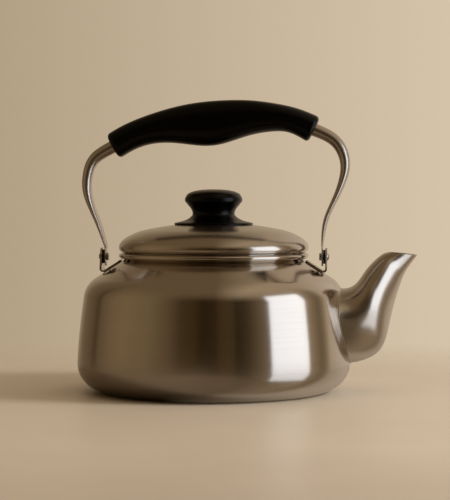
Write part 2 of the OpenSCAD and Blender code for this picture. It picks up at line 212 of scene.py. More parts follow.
def loft(name, rings, sharp=40.0, cap_start=True, cap_end=True, closed=False, wrap=True):
    """Skins rings of the same number of points, with UVs in metres along and around."""
    m = len(rings[0])
    verts = [tuple(p) for ring in rings for p in ring]
    faces = []
    n = len(rings)
    around = m if wrap else m - 1
    for i in range(n if closed else n - 1):
        a, b = i * m, ((i + 1) % n) * m
        for k in range(around):
            j = (k + 1) % m
            faces.append((a + k, a + j, b + j, b + k))
    if cap_start:
        faces.append(tuple(reversed(range(m))))
    if cap_end:
        faces.append(tuple((n - 1) * m + k for k in range(m)))
    uvs = []
    along = 0.0
    for i, ring in enumerate(rings):
        if i:
            along += math.dist(ring[0], rings[i - 1][0])
        run = 0.0
        for k, p in enumerate(ring):
            if k:
                run += math.dist(p, ring[k - 1])
            uvs.append((run * MM, along * MM))
    return mesh_object(name, verts, faces, sharp, uvs)


def cut(ob, cutters):
    """Boolean difference, applied, so that no modifier is left."""
    for cutter in cutters:
        mod = ob.modifiers.new("cut", "BOOLEAN")
        mod.operation = "DIFFERENCE"
        mod.solver = "EXACT"
        mod.object = cutter
    deps = bpy.context.evaluated_depsgraph_get()
    me = bpy.data.meshes.new_from_object(ob.evaluated_get(deps))
    ob.modifiers.clear()
    ob.data = me
    for cutter in cutters:
        bpy.data.objects.remove(cutter)


def piece(ob, body, slot, mat, *nodes):
    """Gives a piece its material and its body, and hides the CAD nodes it stands for. The slot is not used."""
    ob.data.materials.clear()
    ob.data.materials.append(mat)
    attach(ob, body)
    if nodes:
        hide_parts(*nodes)
    return ob


# ---------------------------------------------------------------- materials
class Nodes:
    """Short ways to add nodes to an emptied tree."""

    def __init__(self, tree):
        self.tree = tree
        self.nodes = tree.nodes
        self.nodes.clear()

    def add(self, kind, **props):
        node = self.nodes.new(kind)
        for key, value in props.items():
            setattr(node, key, value)
        return node

    def link(self, a, b):
        self.tree.links.new(a, b)

    def feed(self, node, *values):
        for i, v in enumerate(values):
            if isinstance(v, (int, float)):
                node.inputs[i].default_value = v
            else:
                self.link(v, node.inputs[i])
        return node.outputs[0]

    def math(self, op, *values):
        return self.feed(self.add("ShaderNodeMath", operation=op), *values)

    def stretch(self, x, y, z, by):
        """Vector of three outputs, each multiplied by its own number."""
        scaled = [v if by_v is None else self.math("MULTIPLY", v, by_v) for v, by_v in zip((x, y, z), by)]
        return self.feed(self.add("ShaderNodeCombineXYZ"), *scaled)

    def noise(self, vector, scale, detail=3.0, rough=0.55, w=None):
        node = self.add("ShaderNodeTexNoise", noise_dimensions="4D" if w is not None else "3D")
        self.link(vector, node.inputs["Vector"])
        if w is not None:
            self.link(w, node.inputs["W"])
        node.inputs["Scale"].default_value = scale
        node.inputs["Detail"].default_value = detail
        node.inputs["Roughness"].default_value = rough
        return node.outputs["Fac"]

    def spread(self, value, lo, hi, from_lo=0.3, from_hi=0.7):
        node = self.add("ShaderNodeMapRange")
        self.link(value, node.inputs["Value"])
        for name, v in (("From Min", from_lo), ("From Max", from_hi), ("To Min", lo), ("To Max", hi)):
            node.inputs[name].default_value = v
        return node.outputs["Result"]

    def blend(self, a, b, shares):
        return self.math("ADD", self.math("MULTIPLY", a, shares[0]), self.math("MULTIPLY", b, shares[1]))

    def bump(self, height, strength, distance, shader):
        node = self.add("ShaderNodeBump")
        node.inputs["Strength"].default_value = strength
        node.inputs["Distance"].default_value = distance
        self.link(height, node.inputs["Height"])
        self.link(node.outputs[0], shader.inputs["Normal"])

    def mix(self, factor, a, b, blend_type="MIX"):
        """Colour mix; a and b are colours or outputs."""
        node = self.add("ShaderNodeMix", data_type="RGBA", blend_type=blend_type)
        self.link(factor, node.inputs["Factor"])
        for socket, v in (("A", a), ("B", b)):
            if isinstance(v, tuple):
                node.inputs[socket].default_value = (*v, 1)
            else:
                self.link(v, node.inputs[socket])
        return node.outputs["Result"]


def new_material(name):
    mat = bpy.data.materials.new(name)
    mat.use_nodes = True
    n = Nodes(mat.node_tree)
    out = n.add("ShaderNodeOutputMaterial")
    bsdf = n.add("ShaderNodeBsdfPrincipled")
    n.link(bsdf.outputs[0], out.inputs[0])
    return mat, n, bsdf


GRAIN_SHARE = (0.6, 0.4)
CLOUD_SHARE = (0.7, 0.3)
GRAIN_DEPTH = 0.00004
# Heights, in metres, between which the finish changes to that of the neck
TOP_FINISH_Z = (0.072, 0.080)


def steel(name, base, rough, grain, anisotropic, bump, run="round", rotation=0.0, top=1.0, vary=0.12):
    """Satin steel. The grain runs round the Z axis, along the piece's V, or nowhere."""
    mat, n, bsdf = new_material(name)
    coord = n.add("ShaderNodeTexCoord")
    split = n.add("ShaderNodeSeparateXYZ")
    if run == "nowhere":
        fine = n.noise(coord.outputs["Object"], 420.0, 2.0, 0.5)
        wide = n.noise(coord.outputs["Object"], 90.0, 2.0, 0.5)
        tangent = None
    elif run == "round":
        n.link(coord.outputs["Object"], split.inputs[0])
        x, y, z = split.outputs
        r = n.math("SQRT", n.math("ADD", n.math("MULTIPLY", x, x), n.math("MULTIPLY", y, y)))
        fine = n.noise(n.stretch(x, y, z, (22.0, 22.0, 2600.0)), 1.0, 3.0, 0.6,
                       n.math("MULTIPLY", r, 2600.0))
        wide = n.noise(n.stretch(x, y, z, (9.0, 9.0, 420.0)), 1.0, 2.0, 0.5,
                       n.math("MULTIPLY", r, 420.0))
        tangent = n.add("ShaderNodeTangent", direction_type="RADIAL", axis="Z")
    else:
        n.link(coord.outputs["UV"], split.inputs[0])
        u, v = split.outputs[0], split.outputs[1]
        fine = n.noise(n.stretch(u, v, 0.0, (900.0, 14.0, None)), 1.0, 2.0, 0.5)
        wide = n.noise(n.stretch(u, v, 0.0, (260.0, 8.0, None)), 1.0, 2.0, 0.5)
        tangent = n.add("ShaderNodeTangent", direction_type="UV_MAP", uv_map="surface")
    cloud = n.noise(coord.outputs["Object"], 26.0, 4.0, 0.6)
    if tangent:
        n.link(tangent.outputs[0], bsdf.inputs["Tangent"])
    streak = n.blend(fine, wide, GRAIN_SHARE)
    uneven = n.blend(streak, cloud, CLOUD_SHARE)
    dark = tuple(c * (1 - grain) for c in base)
    light = tuple(min(c * (1 + grain * 0.6), 1.0) for c in base)
    n.link(n.mix(n.spread(uneven, 0.0, 1.0), dark, light), bsdf.inputs["Base Color"])
    finish = n.spread(uneven, rough * (1 - vary), rough * (1 + vary))
    if top != 1.0:
        finish = n.math("MULTIPLY", finish, n.spread(z, 1.0, top, *TOP_FINISH_Z))
    n.link(finish, bsdf.inputs["Roughness"])
    n.bump(streak, bump, GRAIN_DEPTH, bsdf)
    bsdf.inputs["Metallic"].default_value = 1.0
    bsdf.inputs["Anisotropic"].default_value = anisotropic
    bsdf.inputs["Anisotropic Rotation"].default_value = rotation
    return mat


def plastic(name, base, rough, fine_scale, bump, specular=0.5):
    """Moulded black plastic with a very fine spark-eroded grain and slight wear."""
    mat, n, bsdf = new_material(name)
    coord = n.add("ShaderNodeTexCoord")
    grain = n.noise(coord.outputs["Object"], fine_scale, 2.0, 0.5)
    patch = n.noise(coord.outputs["Object"], 45.0, 4.0, 0.6)
    light = tuple(c * 1.35 for c in base)
    n.link(n.mix(n.spread(patch, 0.0, 1.0), base, light), bsdf.inputs["Base Color"])
    both = n.blend(grain, patch, (0.35, 0.65))
    n.link(n.spread(both, rough * 0.85, rough * 1.15), bsdf.inputs["Roughness"])
    n.bump(grain, bump, 0.00005, bsdf)
    bsdf.inputs["Specular IOR Level"].default_value = specular
    return mat


STEEL = (0.56, 0.505, 0.44)
satin = steel("satin_steel", STEEL, 0.17, 0.08, 0.8, 0.05, rotation=0.25, top=0.7)
lid_steel = steel("satin_steel_lid", STEEL, 0.21, 0.08, 0.75, 0.05, rotation=0.25)
spout_steel = steel("satin_steel_spout", STEEL, 0.23, 0.05, 0.0, 0.0, run="along", vary=0.03)
polished = steel("polished_steel", (0.60, 0.55, 0.49), 0.2, 0.06, 0.0, 0.08)
tube_steel = steel("handle_tube", (0.56, 0.51, 0.45), 0.3, 0.04, 0.0, 0.0, run="nowhere", vary=0.05)
weld_steel = steel("weld_steel", (0.52, 0.46, 0.39), 0.36, 0.12, 0.0, 0.5)
black = plastic("black_moulding", (0.0003, 0.00027, 0.00025), 0.27, 2600.0, 0.04, specular=0.2)
nylon = plastic("washer_nylon", (0.012, 0.011, 0.010), 0.5, 1800.0, 0.2)
brass = steel("insert_brass", (0.72, 0.53, 0.24), 0.3, 0.1, 0.0, 0.3)


# ---------------------------------------------------------------- body
shoulder_c = (WALL_TOP[0] - SHOULDER_R * math.cos(rad(WALL_LEAN)),
              WALL_TOP[1] - SHOULDER_R * math.sin(rad(WALL_LEAN)))
shoulder_end = (shoulder_c[0] + SHOULDER_R * math.sin(rad(SHOULDER_SLOPE)),
                shoulder_c[1] + SHOULDER_R * math.cos(rad(SHOULDER_SLOPE)))
fillet_r0 = NECK_R + NECK_FILLET * (1 - math.sin(rad(SHOULDER_SLOPE)))
fillet_z0 = shoulder_end[1] + (shoulder_end[0] - fillet_r0) * math.tan(rad(SHOULDER_SLOPE))
fillet_c = (NECK_R + NECK_FILLET, fillet_z0 + NECK_FILLET * math.cos(rad(SHOULDER_SLOPE)))
fillet_start = (fillet_c[0] - NECK_FILLET * math.sin(rad(SHOULDER_SLOPE)),
                fillet_c[1] - NECK_FILLET * math.cos(rad(SHOULDER_SLOPE)))


def body_side(fine):
    """Outline of the wall from the edge of the base up to the neck."""
    return join(
        arc((BASE_R, WIDE_Z), BODY_R - BASE_R, -90, 0, 10 * fine, WIDE_Z),
        bezier2((BODY_R, WIDE_Z), (BODY_R, WIDE_Z + WALL_BULGE_H), WALL_TOP, 20 * fine),
        arc(shoulder_c, SHOULDER_R, WALL_LEAN, 90 - SHOULDER_SLOPE, 10 * fine),
        [tuple(a + (b - a) * i / 5 for a, b in zip(shoulder_end, fillet_start)) for i in range(6)],
        arc(fillet_c, NECK_FILLET, 270 - SHOULDER_SLOPE, 180, 4 * fine))


side = body_side(2)
rim = arc(RIM_C, RIM_HALF[0], 222, 540, 30, RIM_HALF[1])
# The base is dished a little inside the ring it stands on
DISH_H = 0.7
DISH_R = 58
STAND_R = 64
base_ring = [(0, DISH_H), (DISH_R, DISH_H), (61, 0.45), (63, 0.1), (STAND_R, 0.0)]
inner_side = [(r, z) for r, z in reversed(inset(side, SHEET))]
body_profile = join(base_ring, side, [(NECK_R, NECK_TOP_Z)], rim, [(NECK_R - SHEET, NECK_TOP_Z - 0.4)],
                    inner_side, [(STAND_R, SHEET), (DISH_R, DISH_H + SHEET), (0, DISH_H + SHEET)])
body = revolve("kettle_body", body_profile, 256)
# Strainer: one hole behind the middle of the spout, with rings of 6 and 12 round it
HOLE_R = 2.75
HOLE_PITCH = 9.0
HOLE_MID_Z = 48.0
DRILL_FROM, DRILL_TO = 85, 112
drill = [(0, DRILL_FROM), (HOLE_R, DRILL_FROM), (HOLE_R, DRILL_TO), (0, DRILL_TO)]
holes = []
for ring in range(3):
    for k in range(max(6 * ring, 1)):
        a = rad(60 * k / max(ring, 1))
        y = ring * HOLE_PITCH * math.sin(a)
        z = HOLE_MID_Z + ring * HOLE_PITCH * math.cos(a)
        holes.append(revolve("hole", drill, 20, axis="x", offset=(0, y, z)))
cut(body, holes)
body.data.set_sharp_from_angle(angle=rad(40))
piece(body, "body", "satin_steel", satin, "body_shell")

fine_side = body_side(12)
side_z = np.array([p[1] for p in fine_side])
side_r = np.array([p[0] for p in fine_side])


def wall_radius(z):
    """Radius of the outside of the body at height z."""
    return float(np.interp(z, side_z, side_r))


# ---------------------------------------------------------------- spout
# Its back and front edge in the plane of symmetry and its half width, section by section to the mouth
spout_back = Spline([(88, 75.2), (98, 75.6), (105.1, 79.7), (110.5, 87.2), (115, 92.8),
                     (119.7, 97.4), (123.3, 100.2), (125.6, 101.4), (127.6, 101.9)])
spout_front = Spline([(90, 20), (104.5, 21.6), (114.5, 24.8), (121.6, 30), (126.7, 40.6),
                      (131.4, 60.8), (136.5, 78), (141.1, 88.9), (149, 99.8)])
spout_half_w = Spline([(30,), (28.8,), (27,), (25,), (22,), (18.2,), (14.8,), (12.2,), (10,)])
SECTIONS = 8
# How much each section narrows towards the front, which makes it egg-shaped
NOSE_PINCH = 0.3


def spout_point(s, a, t=0.0):
    """Point of the spout at section s and angle a (radians from the back), t mm under its surface."""
    back, front = spout_back(s), spout_front(s)
    mid = (back + front) / 2
    up = back - front
    length = float(np.hypot(*up))
    up = up / length
    h = length / 2 - t
    w = (float(spout_half_w(s)[0]) - t) * (1 + NOSE_PINCH * math.cos(a))
    p = mid + h * math.cos(a) * up
    return (float(p[0]), w * math.sin(a), float(p[1]))


# Both sheets swell towards the weld between them: the wall outward, the spout sideways
COLLAR_W = 7.0
COLLAR_H = 0.8
FLARE_H = 1.6
FLARE_PART = 0.12
FOOT_SWELL = 0.15
FOOT_Z, FOOT_LENGTH = 44, 15
SHOULDER_SWELL = 0.03
SHOULDER_Z, SHOULDER_LENGTH = 59, 9


def smooth(v, start, length):
    """Smooth step from 0 to 1 over a length."""
    t = min(max((v - start) / length, 0.0), 1.0)
    return t * t * (3 - 2 * t)


def swell(z):
    """Strength of the swelling: full on the upper wall, low on the shoulder and at the foot."""
    from_foot = FOOT_SWELL + (1 - FOOT_SWELL) * smooth(z, FOOT_Z, FOOT_LENGTH)
    return from_foot * (1 - (1 - SHOULDER_SWELL) * smooth(z, SHOULDER_Z, SHOULDER_LENGTH))


def flare(f, z):
    """How far the spout's sheet stands out, a fraction f along its length from a root at height z."""
    return FLARE_H * swell(z) * max(1 - f / FLARE_PART, 0.0) ** 2


ROOT_SEARCH = 3.0
WELD_SINK = 0.9


def root_section(a):
    """Section number where the spout's line at angle a meets the collar on the body wall."""
    lo, hi = 0.0, ROOT_SEARCH
    for _ in range(30):
        mid = (lo + hi) / 2
        z = spout_point(mid, a)[2]
        x, y, z = spout_point(mid, a, -flare(0, z))
        if math.hypot(x, y) < wall_radius(z) + WELD_SINK * COLLAR_H * swell(z):
            lo = mid
        else:
            hi = mid
    return (lo + hi) / 2


spout_angles = [rad(3.0 * k) for k in range(120)]
spout_roots = []
for a in spout_angles:
    s0 = root_section(a)
    spout_roots.append((a, s0, spout_point(s0, a)[2]))
ROWS = 96
LIP_H = 0.25
outer, inner = [], []
for i in range(ROWS + 1):
    f = i / ROWS
    outer.append([spout_point(s0 + (SECTIONS - s0) * f, a, -flare(f, z0)) for a, s0, z0 in spout_roots])
    inner.append([spout_point(s0 + (SECTIONS - s0) * f, a, SHEET - flare(f, z0)) for a, s0, z0 in spout_roots])
lip = [[tuple((p + q) / 2 + rise for p, q, rise in zip(po, pi, (0.0, 0.0, LIP_H)))
        for po, pi in zip(outer[-1], inner[-1])]]
spout = loft("spout_shell", outer + lip + list(reversed(inner)), cap_start=False, cap_end=False, sharp=50)
piece(spout, "body", "satin_steel", spout_steel, "spout")

# The body is drawn out a little to meet the spout, and the weld runs along the top of that collar
COLLAR_STEPS = 10
COLLAR_LIFT = 0.02
SPOUT_MID_Z = 47
root = []
for a, s0, z0 in spout_roots:
    x, y, z = spout_point(s0, a, -flare(0, z0))
    root.append((math.atan2(y, x) * wall_radius(z), z))
collar = []
count = len(root)
for k, (arc_y, z) in enumerate(root):
    before, after = root[k - 3], root[(k + 3) % count]
    dy, dz = after[0] - before[0], after[1] - before[1]
    length = math.hypot(dy, dz)
    out_y, out_z = -dz / length, dy / length
    if out_y * arc_y + out_z * (z - SPOUT_MID_Z) < 0:
        out_y, out_z = -out_y, -out_z
    column = []
    for j in range(COLLAR_STEPS + 1):
        f = j / COLLAR_STEPS
        d = COLLAR_W * (1 - f)
        rise = COLLAR_H * swell(z) * f * f * (0.35 + 0.65 * f) + COLLAR_LIFT
        cy, cz = arc_y + out_y * d, z + out_z * d
        r = wall_radius(cz)
        r0 = wall_radius(cz - 0.5)
        slope = math.atan2(r0 - wall_radius(cz + 0.5), 1.0)
        theta = cy / r
        rr = r + rise * math.cos(slope)
        column.append((rr * math.cos(theta), rr * math.sin(theta), cz + rise * math.sin(slope)))
    collar.append(column)
collar_ob = loft("spout_collar", collar, cap_start=False, cap_end=False, closed=True, wrap=False)
piece(collar_ob, "body", "satin_steel", satin)

BEAD_R = 0.42
BEAD_RIPPLE = 0.05
RIPPLE_STEP = 2.1
BEAD_SIDES = 8
weld = []
for k, column in enumerate(collar):
    tip = Vector(column[-1])
    prev_tip, next_tip = Vector(collar[k - 1][-1]), Vector(collar[(k + 1) % count][-1])
    along = (next_tip - prev_tip).normalized()
    out = Vector((tip.x, tip.y, 0)).normalized()
    across = along.cross(out).normalized()
    out = across.cross(along).normalized()
    bead = BEAD_R + BEAD_RIPPLE * math.sin(k * RIPPLE_STEP)
    turns = [2 * math.pi * j / BEAD_SIDES for j in range(BEAD_SIDES)]
    weld.append([tuple(tip + bead * (math.cos(b) * across + math.sin(b) * out)) for b in turns])
weld_ob = loft("spout_weld", weld, cap_start=False, cap_end=False, closed=True)
piece(weld_ob, "body", "satin_steel", weld_steel)


# ---------------------------------------------------------------- lugs, washers, rivets
def mirror(points, side):
    return [(side * x, y, z) for x, y, z in points]


BEND_R = 2.5
LUG_T = EAR_OUT - EAR_IN
LUG_SINK = 0.03
LUG_FOOT_X = 69.0
LUG_CORNER_R = 2.5
LUG_EDGE = 0.35
EAR_R = 6.5
EAR_TAPER_H = 7.4
bend_c = (EAR_OUT - BEND_R,
          shoulder_end[1] + (shoulder_end[0] - EAR_OUT + BEND_R) * math.tan(rad(SHOULDER_SLOPE))
          + (BEND_R - LUG_SINK) / math.cos(rad(SHOULDER_SLOPE)))
LUG_REACH = (bend_c[0] - LUG_FOOT_X) / math.cos(rad(SHOULDER_SLOPE))
mid_r = BEND_R - LUG_T / 2

# Stations down the ear, round the bend and up the shoulder, closer together where the outline is round
FLAT_STEPS = 24
BEND_STEPS = 12
CROWDING = 1.6
lug_path = []
for i in range(FLAT_STEPS + 1):
    z = PIVOT_Z + EAR_R - 0.02 - (PIVOT_Z + EAR_R - bend_c[1]) * (i / FLAT_STEPS) ** CROWDING
    h = z - PIVOT_Z
    if h > 0:
        w = math.sqrt(max(EAR_R ** 2 - h * h, 0.0))
    else:
        w = EAR_R + (LUG_HALF_W - EAR_R) * min(-h / EAR_TAPER_H, 1.0)
    lug_path.append((EAR_OUT - LUG_T / 2, z, 1.0, 0.0, w))
for i in range(1, BEND_STEPS + 1):
    a = -rad(90 + SHOULDER_SLOPE) * i / BEND_STEPS
    lug_path.append((bend_c[0] + mid_r * math.cos(a), bend_c[1] + mid_r * math.sin(a),
                     math.cos(a), math.sin(a), LUG_HALF_W))
out_n = (-math.sin(rad(SHOULDER_SLOPE)), -math.cos(rad(SHOULDER_SLOPE)))
for i in range(1, FLAT_STEPS + 1):
    d = LUG_REACH * (1 - (1 - i / FLAT_STEPS) ** CROWDING)
    in_corner = LUG_CORNER_R - min(LUG_REACH - d, LUG_CORNER_R)
    w = LUG_HALF_W - (LUG_CORNER_R - math.sqrt(max(LUG_CORNER_R ** 2 - in_corner ** 2, 0.0)))
    lug_path.append((bend_c[0] + mid_r * out_n[0] - d * math.cos(rad(SHOULDER_SLOPE)),
                     bend_c[1] + mid_r * out_n[1] + d * math.sin(rad(SHOULDER_SLOPE)),
                     out_n[0], out_n[1], w))


def strip_ring(x, z, nx, nz, w, t, edge):
    """Rounded rectangle across a strip: width 2w along Y, thickness t along the normal (nx, nz).

    Where the normal points down the plate lies on the round shoulder and bends with it."""
    hug = min(max((nx + 0.2) / -0.3, 0.0), 1.0)
    ring = []
    edge = min(edge, w * 0.9, t * 0.49)
    for cx, cy, a0 in ((w - edge, t / 2 - edge, 0), (-w + edge, t / 2 - edge, 90),
                       (-w + edge, -t / 2 + edge, 180), (w - edge, -t / 2 + edge, 270)):
        for j in range(5):
            a = rad(a0 + 22.5 * j)
            y = cx + edge * math.cos(a)
            n = cy + edge * math.sin(a)
            drop = hug * y * y / (2 * x) * math.tan(rad(SHOULDER_SLOPE))
            ring.append((x + nx * n, y, z + nz * n - drop))
    return ring


BORE_R = 2.02
WASHER_EDGE = 0.25
RIVET_R = 2.0
LEG_IN_X = 79.0
INNER_HEAD_R = 2.7
INNER_HEAD_EDGE = 0.5
SIDES = ((-1, "left"), (1, "right"))
for side_sign, side_name in SIDES:
    rings = [mirror(strip_ring(x, z, nx, nz, max(w, 0.4), LUG_T, LUG_EDGE), side_sign)
             for x, z, nx, nz, w in lug_path]
    lug = loft("lug_bracket_" + side_name, rings, sharp=35)
    piece(lug, "body", "polished_steel", polished, "lug_" + side_name)

    washer_profile = join(
        [(BORE_R, WASHER_IN)],
        arc((WASHER_R - WASHER_EDGE, WASHER_IN + WASHER_EDGE), WASHER_EDGE, 270, 360, 2),
        arc((WASHER_R - WASHER_EDGE, EAR_IN - WASHER_EDGE), WASHER_EDGE, 0, 90, 2), [(BORE_R, EAR_IN)])
    washer = revolve("friction_washer_" + side_name, [(r, side_sign * x) for r, x in washer_profile], 64,
                     axis="x", offset=(0, 0, PIVOT_Z), closed=True)
    piece(washer, "body", "washer_nylon", nylon, "pivot_washer_" + side_name)

    dome_h = DOME_X - EAR_OUT
    ball_r = (DOME_R ** 2 + dome_h ** 2) / (2 * dome_h)
    dome_a = math.degrees(math.asin(DOME_R / ball_r))
    rivet_profile = join(
        [(0, INNER_HEAD_X), (1.9, INNER_HEAD_X)],
        arc((INNER_HEAD_R - INNER_HEAD_EDGE, INNER_HEAD_X + INNER_HEAD_EDGE), INNER_HEAD_EDGE, 270, 360, 4),
        [(INNER_HEAD_R, LEG_IN_X), (RIVET_R, LEG_IN_X), (RIVET_R, EAR_OUT), (DOME_R - 0.02, EAR_OUT)],
        arc((0, DOME_X - ball_r), ball_r, 90 - dome_a, 90, 12))
    rivet_profile[-1] = (0.0, DOME_X)
    rivet = revolve("rivet_" + side_name, [(r, side_sign * x) for r, x in rivet_profile], 64, axis="x",
                    offset=(0, 0, PIVOT_Z))
    piece(rivet, "body", "polished_steel", polished, "pivot_rivet_" + side_name)


# ---------------------------------------------------------------- lid and knob
CROWN_R = 240.0
CROWN_EDGE_R = 50.0
BROW_R = 45.0
BROW_SLOPE = 29.0
LID_SHEET = 0.7
HEM_R = 3.65
HEM_C = (LID_R - HEM_R, 105.2)
HEM_IN_R = 64.4
crown_slope = math.degrees(math.asin(CROWN_EDGE_R / CROWN_R))
brow_c = (CROWN_EDGE_R - BROW_R * math.sin(rad(crown_slope)),
          CROWN_Z - CROWN_R + CROWN_R * math.cos(rad(crown_slope)) - BROW_R * math.cos(rad(crown_slope)))
brow_end = (brow_c[0] + BROW_R * math.sin(rad(BROW_SLOPE)),
            brow_c[1] + BROW_R * math.cos(rad(BROW_SLOPE)))
lid_out = join(
    arc((0, CROWN_Z - CROWN_R), CROWN_R, 90, 90 - crown_slope, 16),
    arc(brow_c, BROW_R, 90 - crown_slope, 90 - BROW_SLOPE, 12),
    bezier2(brow_end, (LID_R, brow_end[1] - (LID_R - brow_end[0]) * math.tan(rad(BROW_SLOPE))),
            (LID_R, HEM_C[1]), 20),
    arc(HEM_C, HEM_R, 0, -90, 14),
    [(HEM_IN_R, HEM_C[1] - HEM_R)])
lid_out[0] = (0.0, CROWN_Z)
lid_in = [(max(r, 0), z) for r, z in inset(lid_out, -LID_SHEET)]
lid_in[0] = (0.0, CROWN_Z - LID_SHEET)
hem_tip = [(HEM_IN_R - 0.25, HEM_C[1] - HEM_R + 0.15), (HEM_IN_R - 0.25, HEM_C[1] - HEM_R + 0.55)]
lid = revolve("lid_shell", join(lid_out, hem_tip, list(reversed(lid_in))), 256)
piece(lid, "lid", "satin_steel", lid_steel, "lid_dome")


def crown_height(r):
    """Height of the lid's crown at radius r."""
    return CROWN_Z - CROWN_R + math.sqrt(CROWN_R ** 2 - r * r)


FLANGE_R = knob_hi[0]
knob_profile = join(
    [(0, crown_height(0) + 0.05), (25.4, crown_height(25.4) + 0.05), (28.6, crown_height(28.6) + 0.02)],
    arc((FLANGE_R - 0.7, 122.6), 0.7, -30, 70, 6),
    bezier2((24.7, 124.1), (18, 125.6), (15.5, 129.2), 14),
    bezier2((15.5, 130.5), (15.7, 133), (18.6, 136), 12),
    bezier2((20, 137.8), (22.1, 139.6), (20.5, 142.4), 12),
    bezier2((19.5, 144.1), (16.5, 146.8), (8, KNOB_TOP - 0.3), 14),
    bezier2((8, KNOB_TOP - 0.3), (4, KNOB_TOP), (0, KNOB_TOP), 6))
knob_profile[-1] = (0.0, KNOB_TOP)
knob = revolve("lid_knob", knob_profile, 160)
piece(knob, "lid", "black_moulding", black, "knob")


# ---------------------------------------------------------------- handle
TUBE_R = 4.7
LEG_END_R = 6.8
LEG_X = 79.75
FLAT_HALF_T = 0.65
LEAN = 29.5
IN_SOCKET = 18
# Middle line of each leg (x, z) with the tube's half thickness in the plane of the bail
leg_start = [(LEG_X, 101.5, FLAT_HALF_T), (LEG_X, 104.4, FLAT_HALF_T)]
leg_paths = {
    "left": leg_start + [(80.2, 107.5, 1.2), (84.3, 120.3, 2.05), (88.5, 130.6, 2.4), (92.3, 141.2, 3.1),
                         (93.7, 152, 3.7), (91.6, 164, 4), (85.6, 172.5, 4.4), (74.3, 179.2, TUBE_R)],
    "right": leg_start + [(80, 110, 1.1), (81.6, 122, 1.75), (85.4, 133, 2), (91, 145, 2.4),
                          (95.6, 158.5, 3.2), (95.7, 171, 3.9), (88.6, 183.5, 4.4), (73.7, 191.3, TUBE_R)]}


TIP_CROWDING = 0.7


def flat_ring(x, z, dx, dz, thin, wide, m=96):
    """Section of the flattened tube: an ellipse, with its points closer together round its tips."""
    ring = []
    for k in range(m):
        u = -2 * math.pi * k / m
        a = math.atan2((wide / thin) ** TIP_CROWDING * math.sin(u), math.cos(u))
        q = thin * math.cos(a)
        ring.append((x + q * dz, wide * math.sin(a), z - q * dx))
    return ring


END_STEPS = 19
PER_SPAN = 16
for side_sign, side_name in SIDES:
    rows = leg_paths[side_name]
    path = Spline(rows)
    stations = []
    for i in range(END_STEPS + 1):
        a = rad(90 * i / END_STEPS)
        z = PIVOT_Z - LEG_END_R * math.cos(a)
        stations.append((LEG_X, z, FLAT_HALF_T, 0.0, 1.0, max(LEG_END_R * math.sin(a), 0.5)))
    for i in range(PER_SPAN * (len(rows) - 1) + 1):
        s = i / PER_SPAN
        x, z, thin = path(s)
        if s < 1:
            x, thin = LEG_X, FLAT_HALF_T
        x1, z1, _ = path(min(s + 0.05, len(rows) - 1))
        x0, z0, _ = path(max(s - 0.05, 0))
        n = math.hypot(x1 - x0, z1 - z0)
        dx, dz = ((x1 - x0) / n, (z1 - z0) / n) if s > 1 else (0.0, 1.0)
        wide = math.sqrt(2 * TUBE_R ** 2 - thin ** 2)
        if s < 1:
            wide = LEG_END_R + (wide - LEG_END_R) * s
        stations.append((x, z, thin, dx, dz, wide))
    x, z, thin, dx, dz, wide = stations[-1]
    dx, dz = -math.cos(rad(LEAN)), math.sin(rad(LEAN))
    stations.append((x + IN_SOCKET * dx, z + IN_SOCKET * dz, thin, dx, dz, wide))
    rings = [mirror(flat_ring(x, z, dx, dz, thin, wide), side_sign)
             for x, z, thin, dx, dz, wide in stations]
    leg = loft("handle_leg_" + side_name, rings, sharp=85)
    piece(leg, "handle", "handle_tube", tube_steel, "leg_" + side_name)

# Top and bottom edge of the grip in the plane of the bail, from the left end to the right
grip_top = Spline([(-79.1, 187.8), (-62.7, 196.9), (-38.4, 205.7), (-16, 210.9), (5, 213),
                   (27, 213), (47, 210.4), (63, 206.5), (78.2, 200.3)])
grip_bottom = Spline([(-69.5, 170.5), (-53.6, 179), (-33, 182), (-10, 179.8), (8, 181.5),
                      (27, 187.4), (45.5, 190.2), (57.5, 188.5), (69.2, 182.2)])
GRIP_STEPS = 8
GRIP_END_HALF_W = 10
GRIP_BULGE = 2.5
GRIP_ROUNDNESS = 0.85
PARTING_H = 0.12
PARTING_DEG = 0.9
GRIP_ANGLES = sorted([5.625 * k for k in range(64)]
                     + [deg + d for deg in (90, 270) for d in (-PARTING_DEG, PARTING_DEG)])


def rounded(v):
    """Sine or cosine of a section that is a little squarer than an ellipse."""
    return math.copysign(abs(v) ** GRIP_ROUNDNESS, v) if abs(v) > 1e-9 else 0.0


def grip_ring(s, shrink=0.0):
    """Section s of the grip, drawn in by shrink mm; the full section has a fine parting line."""
    top, bottom = grip_top(s), grip_bottom(s)
    mid = (top + bottom) / 2
    up = top - bottom
    length = float(np.hypot(*up))
    up = up / length
    h = length / 2 - shrink
    w = GRIP_END_HALF_W + GRIP_BULGE * math.sin(math.pi * s / GRIP_STEPS) - shrink
    ring = []
    for deg in GRIP_ANGLES:
        a = -rad(deg)
        c, q = rounded(math.cos(a)), rounded(math.sin(a))
        if shrink == 0.0 and deg in (90, 270):
            q *= 1 + PARTING_H / w
        p = mid + h * c * up
        ring.append((float(p[0]), w * q, float(p[1])))
    return ring


GRIP_EDGE_R = 3.0
SOCKET_R = TUBE_R + 0.25
SOCKET_SHOWN = 5


